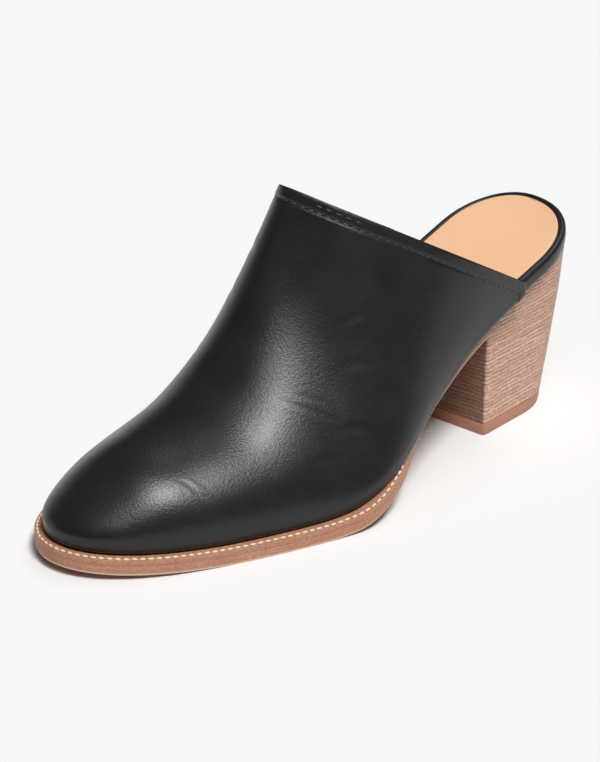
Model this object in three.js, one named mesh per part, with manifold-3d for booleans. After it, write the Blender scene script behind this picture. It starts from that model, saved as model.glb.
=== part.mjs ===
// A woman's heeled mule for the left foot: a one-piece leather vamp, open behind, over a
// leather-covered footbed, on a welted leather sole and a stacked block heel.
// Millimetres, +Z up, toe towards -Y, outer side of the foot towards +X.
// "at" is a distance forward from the back of the heel, along the heel-to-toe line, so y = -at.
import * as THREE from 'three';
import { mergeVertices } from 'three/addons/utils/BufferGeometryUtils.js';
import Module from 'manifold-3d';

const wasm = await Module();
wasm.setup();

// ---- driving dimensions ----
const gap = 0.3; // between neighbouring pieces
const shoeLength = 250; // back of the footbed to the tip of the sole
const wall = 2.0; // vamp leather with its lining
const ledge = 3.0; // how far the welt stands out beyond the vamp
const soleThick = 3.6;
const weltThick = 2.2;
const weltWidth = 9;
const topliftThick = 5.1;
const rimThick = 6.0; // footbed board where it shows, round the heel
const boardThick = 3.0; // and under the toes
const rimRound = 2.0; // rounded edge of the leather-wrapped rim
const sockThick = 1.2;
const sockInset = 3.6; // rim that shows round the sock
const sockRecess = 1.5; // the sock lies in the footbed, level with its rim
const lastedWall = 4.5; // upright part of the vamp's wall above its lower edge
const toplineAt = 50; // a place near the topline's rear corners
const toplineHigh = 64.2; // and the topline's height there
const toplineSlope = 0.585; // rise of the topline for each mm forward
const cornerAt = 49; // the vamp ends in two upright corners here, on a line turned a little
const cornerTurn = THREE.MathUtils.degToRad(4.8);
const archDipFrom = 62; // on the arch side the topline dips from here back to its corner
const archCornerHigh = 61.7;
const goreFront = 78; // the vamp's arch-side edge runs down to its lower edge here
const goreRear = 44.5; // the gusset reaches this far back, beside the rim
const goreTopSlope = 0.4; // and its top falls towards the rear
const goreThick = 1.2;
const goreInset = 0.5; // the gusset lies this far under the vamp's face
const heelTurn = THREE.MathUtils.degToRad(6.7); // heel's axis against the heel-to-toe line
const heelBreast = 64.9; // flat front face of the heel, along the heel's own axis
const breastCorner = 1.5;
const heelRound = { length: 26, power: 2.18 }; // rounding of the heel's back
const fullLedgeFrom = 150; // the welt stands out at its full width from here forward
const waistDraw = -4; // and the sole draws in under the vamp in the waist
const plateRear = 40; // sole and welt are made from here forward, then cut at the breast
const vampRear = 36; // the vamp's face is made from here forward, then cut to its edges
const rowSteps = 13; // facets over each side of the vamp
const blockSize = 600; // of a cutting block, larger than the shoe

// Half-breadths of the footbed's outline, before its two ends are rounded off
const outline = [
  { at: 0, outer: 31, inner: 25 },
  { at: 20, outer: 31.8, inner: 24.7 },
  { at: 40, outer: 34, inner: 22.6 },
  { at: 58, outer: 36, inner: 19.8 },
  { at: 80, outer: 39.2, inner: 16.8 },
  { at: 100, outer: 43.1, inner: 17.2 },
  { at: 117, outer: 48.2, inner: 20.6 },
  { at: 130, outer: 51.8, inner: 25.2 },
  { at: 143, outer: 52.9, inner: 31.2 },
  { at: 158, outer: 51, inner: 36 },
  { at: 175, outer: 49, inner: 37.9 },
  { at: 205, outer: 46.6, inner: 37.7 },
  { at: 250, outer: 46, inner: 37.5 },
];
const heelEnd = { length: 31.4, power: 2.18 };
const toeEnd = { outer: 118, inner: 90, power: 2 };

// Underside of the sole: heel pitch, arch, flat tread and toe spring. Behind the breast it is
// the level that the sole would have, which sets the height of the heel's seat.
const bottomLine = [
  { at: 0, under: 62.6 },
  { at: 25, under: 54.8 },
  { at: 50, under: 48 },
  { at: 75, under: 39.5 },
  { at: 100, under: 26.2 },
  { at: 125, under: 11.7 },
  { at: 142, under: 4.2 },
  { at: 152, under: 1.3 },
  { at: 163, under: 0.15 },
  { at: 174, under: 0 },
  { at: 194, under: 0 },
  { at: 215, under: 0.75 },
  { at: 235, under: 2 },
  { at: 250, under: 3.3 },
];

// Cross-sections of the last: height and sideways place of the instep's ridge, and how full
// the wall and crown are on the outer and on the arch side (0 straight, 0.55 a quarter ellipse)
const sections = [
  { at: 40, ridge: 168, across: 8, outerFull: 0.55, innerFull: 0.5 },
  { at: 60, ridge: 166, across: 7.4, outerFull: 0.51, innerFull: 0.5 },
  { at: 90, ridge: 158, across: 3.4, outerFull: 0.32, innerFull: 0.52 },
  { at: 120, ridge: 135, across: -0.5, outerFull: 0.13, innerFull: 0.53 },
  { at: 140, ridge: 98, across: -1.5, outerFull: 0.09, innerFull: 0.45 },
  { at: 160, ridge: 67, across: 0, outerFull: 0.27, innerFull: 0.37 },
  { at: 180, ridge: 47.2, across: 1.5, outerFull: 0.43, innerFull: 0.37 },
  { at: 200, ridge: 39.8, across: 2.4, outerFull: 0.5, innerFull: 0.4 },
  { at: 220, ridge: 35.6, across: 2.3, outerFull: 0.48, innerFull: 0.36 },
  { at: 236, ridge: 29.8, across: 2, outerFull: 0.44, innerFull: 0.34 },
  { at: 250, ridge: 27, across: 0, outerFull: 0.44, innerFull: 0.34 },
];
const toeCapLength = 36.6; // over which the crown rounds down to the toe
const sideSwell = 1.2; // how far the walls bulge past the lower edge

// The heel's half-breadth and the place of its back, going up from the ground
const heelShape = [
  { up: 0, half: 24.7, back: 13.4 },
  { up: 6, half: 24.7, back: 12 },
  { up: 28, half: 25, back: 6.8 },
  { up: 50, half: 25.6, back: 2.7 },
  { up: 70, half: 26.6, back: 1 },
];

// ---- curves through the tables ----
// A smooth curve through one named column that never overshoots its rows
function curve(rows, key, column) {
  const x = rows.map((row) => row[key]);
  const y = rows.map((row) => row[column]);
  const last = x.length - 1;
  const step = x.slice(1).map((value, i) => value - x[i]);
  const rise = step.map((width, i) => (y[i + 1] - y[i]) / width);
  const slope = y.map((_, i) => {
    if (i === 0) return rise[0];
    if (i === last) return rise[last - 1];
    if (rise[i - 1] * rise[i] <= 0) return 0;
    const before = 2 * step[i] + step[i - 1];
    const after = step[i] + 2 * step[i - 1];
    return (before + after) / (before / rise[i - 1] + after / rise[i]);
  });
  return (place) => {
    const p = THREE.MathUtils.clamp(place, x[0], x[last]);
    const i = Math.min(last - 1, x.filter((value) => value <= p).length - 1);
    const t = (p - x[i]) / step[i];
    const bend = t * t * (3 - 2 * t);
    const lead = t * (1 - t) * (1 - t);
    const trail = t * t * (t - 1);
    return y[i] + (y[i + 1] - y[i]) * bend + (slope[i] * lead + slope[i + 1] * trail) * step[i];
  };
}

const outerHalf = curve(outline, 'at', 'outer');
const innerHalf = curve(outline, 'at', 'inner');
const under = curve(bottomLine, 'at', 'under');
const ridgeHigh = curve(sections, 'at', 'ridge');
const ridgeAcross = curve(sections, 'at', 'across');
const outerFull = curve(sections, 'at', 'outerFull');
const innerFull = curve(sections, 'at', 'innerFull');
const heelHalf = curve(heelShape, 'up', 'half');
const heelBack = curve(heelShape, 'up', 'back');

const soleStack = soleThick + gap + weltThick + gap; // ground to the vamp's lower edge
const bedLength = shoeLength - ledge - wall - gap;
const lowerEdge = (at) => under(at) + soleStack; // the vamp's lower edge, the footbed's underside
const bedThick = (at) => THREE.MathUtils.lerp(
  rimThick, boardThick, THREE.MathUtils.smoothstep(at, 70, 125));

// Rounds off the end of an outline: 0 at the tip, 1 from "length" inwards
function roundEnd(distance, length, power) {
  const t = THREE.MathUtils.clamp(distance / length, 0, 1);
  return (1 - (1 - t) ** power) ** (1 / power);
}

// Stations from one place to another, closer together towards either end that is rounded
function stations(from, to, count, roundHeel) {
  return Array.from({ length: count + 1 }, (_, k) => {
    const t = k / count;
    const share = roundHeel ? (1 - Math.cos(Math.PI * t)) / 2 : Math.sin((Math.PI / 2) * t);
    return from + (to - from) * share;
  });
}

// The footbed's outline grown outwards by grow(at): its two sides, point by point from
// the heel to the tip of the toe
function outlineRing(places, grow) {
  const side = (half, sign, toe) => places.map((at) => new THREE.Vector2(
    sign * half(at) * roundEnd(at, heelEnd.length, heelEnd.power)
      * roundEnd(bedLength - at, toe, toeEnd.power), at));
  const outer = side(outerHalf, 1, toeEnd.outer);
  const inner = side(innerHalf, -1, toeEnd.inner);
  const last = places.length - 1;
  const closed = Math.abs(outer[0].x) < 1e-6;
  const neighbour = (own, other, i) => {
    if (i < 0) return closed ? other[1] : own[0];
    return i > last ? other[last - 1] : own[i];
  };
  const moved = (own, other, sign) => own.map((point, i) => {
    const along = neighbour(own, other, i + 1).clone().sub(neighbour(own, other, i - 1));
    const outwards = new THREE.Vector2(along.y, -along.x).normalize().multiplyScalar(sign);
    return point.clone().addScaledVector(outwards, grow(point.y));
  });
  return { outer: moved(outer, inner, 1), inner: moved(inner, outer, -1) };
}

// ---- meshes ----
// A closed geometry from triangles given as triples of points; touching corners are merged
function closedGeometry(triangles) {
  const loose = new THREE.BufferGeometry().setFromPoints(triangles.flat());
  const merged = mergeVertices(loose, 1e-4);
  const index = merged.index.array;
  const kept = [];
  for (let i = 0; i < index.length; i += 3) {
    const [a, b, c] = [index[i], index[i + 1], index[i + 2]];
    if (a !== b && b !== c && c !== a) kept.push(a, b, c);
  }
  merged.setIndex(kept);
  return merged;
}

function quad(a, b, c, d) {
  return [[a, b, c], [a, c, d]];
}

// A plate with the footbed's plan: each ring has its own growth and its height above base(at)
function plate(places, base, rings) {
  const levels = rings.map(({ grow, high }) => {
    const ring = outlineRing(places, grow);
    const lift = (p) => new THREE.Vector3(p.x, -p.y, base(p.y) + high(p.y));
    return { outer: ring.outer.map(lift), inner: ring.inner.map(lift) };
  });
  const triangles = [];
  for (let r = 1; r < levels.length; r++) {
    const [low, high] = [levels[r - 1], levels[r]];
    triangles.push(...quad(low.outer[0], low.inner[0], high.inner[0], high.outer[0]));
  }
  for (let k = 0; k < places.length - 1; k++) {
    for (let r = 1; r < levels.length; r++) {
      const [low, high] = [levels[r - 1], levels[r]];
      triangles.push(...quad(low.outer[k + 1], low.outer[k], high.outer[k], high.outer[k + 1]));
      triangles.push(...quad(low.inner[k], low.inner[k + 1], high.inner[k + 1], high.inner[k]));
    }
    const [bottom, top] = [levels[0], levels.at(-1)];
    triangles.push(...quad(bottom.outer[k], bottom.outer[k + 1], bottom.inner[k + 1],
      bottom.inner[k]));
    triangles.push(...quad(top.outer[k + 1], top.outer[k], top.inner[k], top.inner[k + 1]));
  }
  return closedGeometry(triangles);
}

// A solid skinned over a row of closed loops, with a flat cap on each end
function loft(loops) {
  const triangles = [];
  const count = loops[0].length;
  for (let i = 1; i < loops.length; i++) {
    for (let j = 0; j < count; j++) {
      const n = (j + 1) % count;
      triangles.push(...quad(loops[i - 1][j], loops[i - 1][n], loops[i][n], loops[i][j]));
    }
  }
  const cap = (loop, flip) => {
    const centre = loop.reduce((sum, p) => sum.add(p), new THREE.Vector3()).divideScalar(count);
    loop.forEach((p, j) => {
      const next = loop[(j + 1) % count];
      triangles.push(flip ? [centre, next, p] : [centre, p, next]);
    });
  };
  cap(loops[0], true);
  cap(loops.at(-1), false);
  return closedGeometry(triangles);
}

function toManifold(geometry) {
  const bare = geometry.clone();
  bare.deleteAttribute('normal');
  bare.deleteAttribute('uv');
  const merged = mergeVertices(bare, 1e-5);
  return new wasm.Manifold(new wasm.Mesh({
    numProp: 3,
    vertProperties: Float32Array.from(merged.attributes.position.array),
    triVerts: Uint32Array.from(merged.index.array),
  }));
}

function toGeometry(manifold) {
  const mesh = manifold.getMesh();
  const geometry = new THREE.BufferGeometry();
  geometry.setAttribute('position', new THREE.BufferAttribute(mesh.vertProperties, 3));
  geometry.setIndex(new THREE.BufferAttribute(mesh.triVerts, 1));
  return geometry;
}

// A block that covers everything on one side of a plane through point, facing along normal
function halfSpace(point, normal) {
  const block = new THREE.BoxGeometry(blockSize, blockSize, blockSize);
  block.translate(0, 0, blockSize / 2);
  const turn = new THREE.Quaternion().setFromUnitVectors(
    new THREE.Vector3(0, 0, 1), normal.clone().normalize());
  block.applyQuaternion(turn);
  block.translate(point.x, point.y, point.z);
  return toManifold(block);
}

const level = (height) => () => height;

// ---- sole, welt, footbed and sock ----
// The welt's ledge runs full width round the forefoot and dies away in the waist, where the
// sole draws in under the vamp
function soleGrow(at) {
  const show = THREE.MathUtils.smoothstep(at, 100, fullLedgeFrom);
  return wall + gap + THREE.MathUtils.lerp(waistDraw, ledge, show);
}

const breastPoint = new THREE.Vector3(
  (heelBreast + gap) * Math.sin(heelTurn), -(heelBreast + gap) * Math.cos(heelTurn), 0);
const behindBreast = halfSpace(
  breastPoint, new THREE.Vector3(-Math.sin(heelTurn), Math.cos(heelTurn), 0));

function makeOutsole() {
  const places = stations(plateRear, bedLength, 44, false);
  const whole = plate(places, under, [
    { grow: soleGrow, high: level(0) },
    { grow: soleGrow, high: level(soleThick) },
  ]);
  return toGeometry(toManifold(whole).subtract(behindBreast));
}

// A strip that follows the sole's edge in a long U, from the breast round the toe and back
function makeWelt() {
  const places = stations(plateRear, bedLength, 44, false);
  const edge = outlineRing(places, soleGrow);
  const inside = outlineRing(places, (at) => soleGrow(at) - weltWidth);
  const low = soleThick + gap;
  const section = (out, back) => {
    const outHigh = under(out.y) + low;
    const backHigh = under(back.y) + low;
    return [
      new THREE.Vector3(out.x, -out.y, outHigh),
      new THREE.Vector3(out.x, -out.y, outHigh + weltThick),
      new THREE.Vector3(back.x, -back.y, backHigh + weltThick),
      new THREE.Vector3(back.x, -back.y, backHigh),
    ];
  };
  const outerRun = edge.outer.map((p, i) => section(p, inside.outer[i]));
  const innerRun = edge.inner.map((p, i) => section(p, inside.inner[i])).reverse().slice(1);
  return toGeometry(toManifold(loft([...outerRun, ...innerRun])).subtract(behindBreast));
}

function makeFootbed() {
  const places = stations(0, bedLength, 48, true);
  const edgeLow = 0.5; // small round on the lower edge
  return plate(places, lowerEdge, [
    { grow: level(-edgeLow), high: level(0) },
    { grow: level(0), high: level(edgeLow) },
    { grow: level(0), high: (at) => bedThick(at) - rimRound },
    { grow: level(-rimRound * 0.3), high: (at) => bedThick(at) - rimRound * 0.3 },
    { grow: level(-rimRound), high: bedThick },
    { grow: level(gap - sockInset), high: bedThick },
    { grow: level(gap - sockInset), high: (at) => bedThick(at) - sockRecess },
  ]);
}

function makeSock() {
  const places = stations(0, bedLength, 44, true);
  const top = (at) => lowerEdge(at) + bedThick(at) - sockRecess + gap;
  return plate(places, top, [
    { grow: level(-sockInset), high: level(0) },
    { grow: level(-sockInset), high: level(sockThick) },
  ]);
}

// ---- upper and gore ----
// One side of a cross-section of the last, from the lower edge to the ridge, as shares of the
// half-breadth (x) and of the height (y) of the part above the upright wall
function sidePoint(t, full, swell) {
  const b = [(1 - t) ** 3, 3 * t * (1 - t) ** 2, 3 * t * t * (1 - t), t ** 3];
  return { across: b[0] + (1 + swell) * b[1] + full * b[2], up: full * b[1] + b[2] + b[3] };
}

// The vamp's face at its full size, as a grid: a row of points over the foot for each station
function lastGrid(places) {
  const ring = outlineRing(places, () => wall + gap);
  return places.map((_, i) => {
    const [outer, inner] = [ring.outer[i], ring.inner[i]];
    const at = (outer.y + inner.y) / 2;
    const tip = bedLength + wall + gap;
    const crown = roundEnd(tip - at, toeCapLength, 2);
    const base = lowerEdge(at) + lastedWall;
    const high = (ridgeHigh(at) - base) * crown;
    const middle = ridgeAcross(at) * roundEnd(tip - at, 40, 2);
    const half = (edge, full) => {
      const reach = Math.abs(edge.x - middle);
      const swell = Math.min(sideSwell / Math.max(reach, 1), 0.06);
      const points = [new THREE.Vector3(edge.x, -edge.y, base - lastedWall)];
      for (let k = 0; k < rowSteps; k++) {
        const p = sidePoint(k / rowSteps, full, swell);
        points.push(new THREE.Vector3(
          middle + (edge.x - middle) * p.across,
          -THREE.MathUtils.lerp(edge.y, at, k / rowSteps), base + high * p.up));
      }
      return points;
    };
    const ridge = new THREE.Vector3(middle, -at, base + high);
    return [...half(outer, outerFull(at)), ridge, ...half(inner, innerFull(at)).reverse()];
  });
}

// The grid moved straight inwards by depth, along its own normals
function sunkGrid(grid, depth) {
  const rows = grid.length - 1;
  const columns = grid[0].length - 1;
  return grid.map((row, i) => row.map((point, j) => {
    if (i === rows) return point.clone().add(new THREE.Vector3(0, depth, 0));
    const along = grid[Math.min(i + 1, rows)][j].clone().sub(grid[Math.max(i - 1, 0)][j]);
    const over = row[Math.min(j + 1, columns)].clone().sub(row[Math.max(j - 1, 0)]);
    const inwards = along.cross(over).normalize();
    if (j < 2 || j > columns - 2) inwards.setZ(0).normalize();
    return point.clone().addScaledVector(inwards, depth);
  }));
}

// A wall between two grids, closed along the lower edge and across the open back
function shell(face, back) {
  const triangles = [];
  const rows = face.length - 1;
  const columns = face[0].length - 1;
  for (let i = 0; i < rows; i++) {
    for (let j = 0; j < columns; j++) {
      triangles.push(...quad(face[i][j], face[i][j + 1], face[i + 1][j + 1], face[i + 1][j]));
      triangles.push(...quad(back[i][j], back[i + 1][j], back[i + 1][j + 1], back[i][j + 1]));
    }
    triangles.push(...quad(face[i][0], face[i + 1][0], back[i + 1][0], back[i][0]));
    triangles.push(...quad(face[i + 1][columns], face[i][columns], back[i][columns],
      back[i + 1][columns]));
  }
  for (let j = 0; j < columns; j++) {
    triangles.push(...quad(face[0][j + 1], face[0][j], back[0][j], back[0][j + 1]));
  }
  return toManifold(closedGeometry(triangles));
}

const aboveTopline = halfSpace(
  new THREE.Vector3(0, -toplineAt, toplineHigh), new THREE.Vector3(0, toplineSlope, 1));
const archDipSlope = (toplineHigh + toplineSlope * (archDipFrom - toplineAt) - archCornerHigh)
  / (archDipFrom - toplineAt);
const outerSide = halfSpace(new THREE.Vector3(0, 0, 0), new THREE.Vector3(1, 0, 0));
const aboveDip = halfSpace(
  new THREE.Vector3(0, -toplineAt, archCornerHigh),
  new THREE.Vector3(0, archDipSlope, 1)).subtract(outerSide);
const behindCorners = halfSpace(
  new THREE.Vector3(0, -cornerAt, 0),
  new THREE.Vector3(-Math.sin(cornerTurn), Math.cos(cornerTurn), 0));
const aboveGore = halfSpace(
  new THREE.Vector3(0, -toplineAt, archCornerHigh - gap),
  new THREE.Vector3(0, goreTopSlope, 1));
const behindGore = halfSpace(new THREE.Vector3(0, -goreRear, 0), new THREE.Vector3(0, 1, 0));

// Everything under the vamp's arch-side edge, which runs from the topline's corner down to the
// lower edge; lift moves the edge up or down by half the gap between vamp and gusset
function underVampEdge(lift) {
  const corner = new THREE.Vector3(0, -toplineAt, archCornerHigh + lift);
  const foot = new THREE.Vector3(0, -goreFront, lowerEdge(goreFront) + lift);
  const along = foot.clone().sub(corner);
  const ahead = halfSpace(foot, new THREE.Vector3(0, -1, 0));
  return halfSpace(corner, new THREE.Vector3(0, -along.z, along.y)).subtract(ahead);
}

function makeUpper(face) {
  const whole = shell(face, sunkGrid(face, wall));
  const archCut = underVampEdge(gap / 2).subtract(outerSide);
  return toGeometry(whole.subtract(aboveTopline).subtract(aboveDip).subtract(behindCorners)
    .subtract(archCut));
}

function makeGore(face) {
  const strip = shell(sunkGrid(face, goreInset), sunkGrid(face, goreInset + goreThick));
  return toGeometry(strip.intersect(underVampEdge(-gap / 2)).subtract(outerSide)
    .subtract(behindGore).subtract(aboveGore));
}

// ---- heel, in its own turned frame: x across, y backwards along its axis ----
function heelOutline(half, back) {
  const steps = 14;
  const side = Array.from({ length: steps + 1 }, (_, k) => {
    const from = heelRound.length * (1 - Math.cos((Math.PI / 2) * (k / steps)));
    return [half * roundEnd(from, heelRound.length, heelRound.power), -(back + from)];
  });
  side.push([half, -(heelBreast - breastCorner)], [half - breastCorner, -heelBreast]);
  const mirrored = side.slice(1).reverse().map(([x, y]) => [-x, y]);
  return [...side.reverse(), ...mirrored.reverse()];
}

function makeHeelBlock() {
  const levels = [topliftThick + gap, 16, 28, 40, 52, 64, 76];
  const loops = levels.map((up) => heelOutline(heelHalf(up), heelBack(up))
    .map(([x, y]) => new THREE.Vector3(x, y, up)));
  const seat = plate(stations(0, bedLength, 48, true), lowerEdge, [
    { grow: level(12), high: level(-gap) },
    { grow: level(12), high: level(60) },
  ]);
  seat.rotateZ(-heelTurn);
  return toGeometry(toManifold(loft(loops)).subtract(toManifold(seat)));
}

function makeToplift() {
  const plan = heelOutline(heelHalf(0), heelBack(0)).map(([x, y]) => new THREE.Vector2(x, y));
  return new THREE.ExtrudeGeometry(
    new THREE.Shape(plan), { depth: topliftThick, bevelEnabled: false });
}

// ---- the shoe ----
const blackLeather = { color: 0x2b2a2a, roughness: 0.38, metalness: 0 };
const soleLeather = { color: 0xb8795c, roughness: 0.6, metalness: 0 };
const stackedLeather = { color: 0xb08a73, roughness: 0.62, metalness: 0 };
const topliftRubber = { color: 0xa4705c, roughness: 0.65, metalness: 0 };
const sockLeather = { color: 0xf2c49c, roughness: 0.55, metalness: 0 };
const greyElastic = { color: 0x9a9a9c, roughness: 0.8, metalness: 0 };

function piece(name, geometry, material) {
  const mesh = new THREE.Mesh(geometry, new THREE.MeshStandardMaterial(material));
  mesh.name = name;
  return mesh;
}

const shoe = new THREE.Group();
const heel = new THREE.Group();
heel.rotation.z = heelTurn;
heel.add(piece('toplift', makeToplift(), topliftRubber));
heel.add(piece('heel_block', makeHeelBlock(), stackedLeather));
shoe.add(heel);
shoe.add(piece('outsole', makeOutsole(), soleLeather));
shoe.add(piece('welt', makeWelt(), soleLeather));
shoe.add(piece('footbed', makeFootbed(), blackLeather));
shoe.add(piece('sock', makeSock(), sockLeather));

const vampFace = lastGrid(stations(vampRear, bedLength, 34, false));
shoe.add(piece('upper', makeUpper(vampFace), blackLeather));
shoe.add(piece('gore', makeGore(vampFace), greyElastic));

// The origin is on the ground, under the middle of the whole shoe
shoe.updateMatrixWorld(true);
const bounds = new THREE.Box3().setFromObject(shoe, true);
const middle = bounds.getCenter(new THREE.Vector3());
shoe.position.set(-middle.x, -middle.y, -bounds.min.z);

export default shoe;
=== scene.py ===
import math
import random

import bmesh
import bpy
import numpy as np
from mathutils import Matrix, Vector, kdtree


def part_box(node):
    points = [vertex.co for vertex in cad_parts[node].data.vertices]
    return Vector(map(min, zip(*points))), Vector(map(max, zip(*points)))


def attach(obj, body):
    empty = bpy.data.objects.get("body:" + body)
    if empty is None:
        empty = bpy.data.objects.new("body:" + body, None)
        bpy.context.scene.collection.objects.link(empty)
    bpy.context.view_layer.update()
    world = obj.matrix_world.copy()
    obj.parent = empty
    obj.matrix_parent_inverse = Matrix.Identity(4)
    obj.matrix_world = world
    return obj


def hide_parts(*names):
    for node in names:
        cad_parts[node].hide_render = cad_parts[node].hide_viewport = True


# A woman's heeled mule, left foot. Sizes are in millimetres along the shoe: "at" is a distance
# forward from the back of the heel, x runs out to the little toe, z up from the ground.
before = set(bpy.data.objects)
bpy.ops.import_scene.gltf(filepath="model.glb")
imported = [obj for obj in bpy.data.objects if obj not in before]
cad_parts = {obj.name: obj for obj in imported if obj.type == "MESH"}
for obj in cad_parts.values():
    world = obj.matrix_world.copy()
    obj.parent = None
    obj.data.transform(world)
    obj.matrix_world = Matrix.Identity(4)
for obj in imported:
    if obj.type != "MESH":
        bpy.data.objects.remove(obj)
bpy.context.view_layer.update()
mm = 0.001
farAway = 99.0  # mm, more than any distance that counts


# the last: the sizes that the vamp, footbed and sole share
shoe = {
    "length": 250, "wall": 2.0, "gap": 0.3, "ledge": 3.0, "soleThick": 3.6, "weltThick": 2.2,
    "rimThick": 6.0, "boardThick": 3.0, "rimRound": 2.0, "sockInset": 3.1, "sockRecess": 1.5,
    "lastedWall": 4.5, "sideSwell": 1.2, "toeCapLength": 36.6, "ridgeToeLength": 40,
    "heelEnd": 31.4, "heelPower": 2.18, "toeOuter": 118, "toeInner": 90,
    "waistDraw": -4, "waistFrom": 100, "fullLedgeFrom": 150, "breast": 64.9, "heelTurn": 6.7,
    "rimThinsFrom": 70, "rimThinAt": 125,
}

outline = [  # half-breadths of the footbed, before its ends are rounded
    {"at": 0, "outer": 31, "inner": 25},
    {"at": 20, "outer": 31.8, "inner": 24.7},
    {"at": 40, "outer": 34, "inner": 22.6},
    {"at": 58, "outer": 36, "inner": 19.8},
    {"at": 80, "outer": 39.2, "inner": 16.8},
    {"at": 100, "outer": 43.1, "inner": 17.2},
    {"at": 117, "outer": 48.2, "inner": 20.6},
    {"at": 130, "outer": 51.8, "inner": 25.2},
    {"at": 143, "outer": 52.9, "inner": 31.2},
    {"at": 158, "outer": 51, "inner": 36},
    {"at": 175, "outer": 49, "inner": 37.9},
    {"at": 205, "outer": 46.6, "inner": 37.7},
    {"at": 250, "outer": 46, "inner": 37.5},
]

bottomLine = [  # underside of the sole
    {"at": 0, "under": 62.6},
    {"at": 25, "under": 54.8},
    {"at": 50, "under": 48},
    {"at": 75, "under": 39.5},
    {"at": 100, "under": 26.2},
    {"at": 125, "under": 11.7},
    {"at": 142, "under": 4.2},
    {"at": 152, "under": 1.3},
    {"at": 163, "under": 0.15},
    {"at": 174, "under": 0},
    {"at": 194, "under": 0},
    {"at": 215, "under": 0.75},
    {"at": 235, "under": 2},
    {"at": 250, "under": 3.3},
]

sections = [  # the instep's ridge, and how full each side is (0 straight, 0.55 a quarter ellipse)
    {"at": 40, "ridge": 168, "across": 8, "outerFull": 0.55, "innerFull": 0.5},
    {"at": 60, "ridge": 166, "across": 7.4, "outerFull": 0.51, "innerFull": 0.5},
    {"at": 90, "ridge": 158, "across": 3.4, "outerFull": 0.32, "innerFull": 0.52},
    {"at": 120, "ridge": 135, "across": -0.5, "outerFull": 0.13, "innerFull": 0.53},
    {"at": 140, "ridge": 98, "across": -1.5, "outerFull": 0.09, "innerFull": 0.45},
    {"at": 160, "ridge": 67, "across": 0, "outerFull": 0.27, "innerFull": 0.37},
    {"at": 180, "ridge": 47.2, "across": 1.5, "outerFull": 0.43, "innerFull": 0.37},
    {"at": 200, "ridge": 39.8, "across": 2.4, "outerFull": 0.5, "innerFull": 0.4},
    {"at": 220, "ridge": 35.6, "across": 2.3, "outerFull": 0.48, "innerFull": 0.36},
    {"at": 236, "ridge": 29.8, "across": 2, "outerFull": 0.44, "innerFull": 0.34},
    {"at": 250, "ridge": 27, "across": 0, "outerFull": 0.44, "innerFull": 0.34},
]


def curve(rows, key, column):
    # a smooth line through one column that never overshoots its rows
    x = np.array([row[key] for row in rows], float)
    y = np.array([row[column] for row in rows], float)
    step = np.diff(x)
    rise = np.diff(y) / step
    slope = np.empty(len(x))
    slope[0], slope[-1] = rise[0], rise[-1]
    for i in range(1, len(x) - 1):
        if rise[i - 1] * rise[i] <= 0:
            slope[i] = 0
            continue
        before = 2 * step[i] + step[i - 1]
        after = step[i] + 2 * step[i - 1]
        slope[i] = (before + after) / (before / rise[i - 1] + after / rise[i])

    def value(place):
        p = np.clip(np.asarray(place, float), x[0], x[-1])
        i = np.clip(np.searchsorted(x, p, side="right") - 1, 0, len(x) - 2)
        t = (p - x[i]) / step[i]
        bend = t * t * (3 - 2 * t)
        lead = slope[i] * t * (1 - t) ** 2
        trail = slope[i + 1] * t * t * (t - 1)
        return y[i] + (y[i + 1] - y[i]) * bend + (lead + trail) * step[i]

    return value


def smoothstep(value, start, end):
    t = np.clip((value - start) / (end - start), 0, 1)
    return t * t * (3 - 2 * t)


def roundEnd(distance, length, power):
    # 0 at the tip of an outline, 1 from "length" inwards
    t = np.clip(distance / length, 0, 1)
    return (1 - (1 - t) ** power) ** (1 / power)


outerHalf = curve(outline, "at", "outer")
innerHalf = curve(outline, "at", "inner")
under = curve(bottomLine, "at", "under")
bedLength = shoe["length"] - shoe["ledge"] - shoe["wall"] - shoe["gap"]
soleStack = shoe["soleThick"] + shoe["weltThick"] + 2 * shoe["gap"]


def lowerEdge(at):
    return under(at) + soleStack


def bedThick(at):
    share = smoothstep(at, shoe["rimThinsFrom"], shoe["rimThinAt"])
    return shoe["rimThick"] + (shoe["boardThick"] - shoe["rimThick"]) * share


def soleGrow(at):
    show = smoothstep(at, shoe["waistFrom"], shoe["fullLedgeFrom"])
    draw = shoe["waistDraw"] + (shoe["ledge"] - shoe["waistDraw"]) * show
    return shoe["wall"] + shoe["gap"] + draw


def stations(start, end, count, roundHeel=False):
    # places along the shoe, closer together towards the toe, and at the heel if it is round
    t = np.linspace(0, 1, count + 1)
    share = (1 - np.cos(math.pi * t)) / 2 if roundHeel else np.sin(math.pi / 2 * t)
    return start + (end - start) * share


def outlineRing(places, grow):
    # the footbed's two sides, heel to toe, moved outwards by grow(at)
    heel = roundEnd(places, shoe["heelEnd"], shoe["heelPower"])
    outerX = outerHalf(places) * heel * roundEnd(bedLength - places, shoe["toeOuter"], 2)
    innerX = innerHalf(places) * heel * roundEnd(bedLength - places, shoe["toeInner"], 2)
    outer = np.stack([outerX, places], 1)
    inner = np.stack([-innerX, places], 1)
    closed = abs(outer[0, 0]) < 1e-6  # the two sides meet at the back of the heel

    def moved(own, other, sign):
        first = other[1] if closed else own[0]
        before = np.vstack([first, own[:-1]])
        after = np.vstack([own[1:], other[-2]])
        along = after - before
        out = np.stack([along[:, 1], -along[:, 0]], 1)
        out *= sign / np.linalg.norm(out, axis=1)[:, None]
        return own + out * np.asarray(grow(own[:, 1]))[:, None]

    return moved(outer, inner, 1), moved(inner, outer, -1)


def level(amount):
    return lambda at: np.full(np.shape(at), float(amount))


def raised(line, amount):
    # a line given by a function of "at", with an amount added all along
    return lambda at: line(at) + amount


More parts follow.
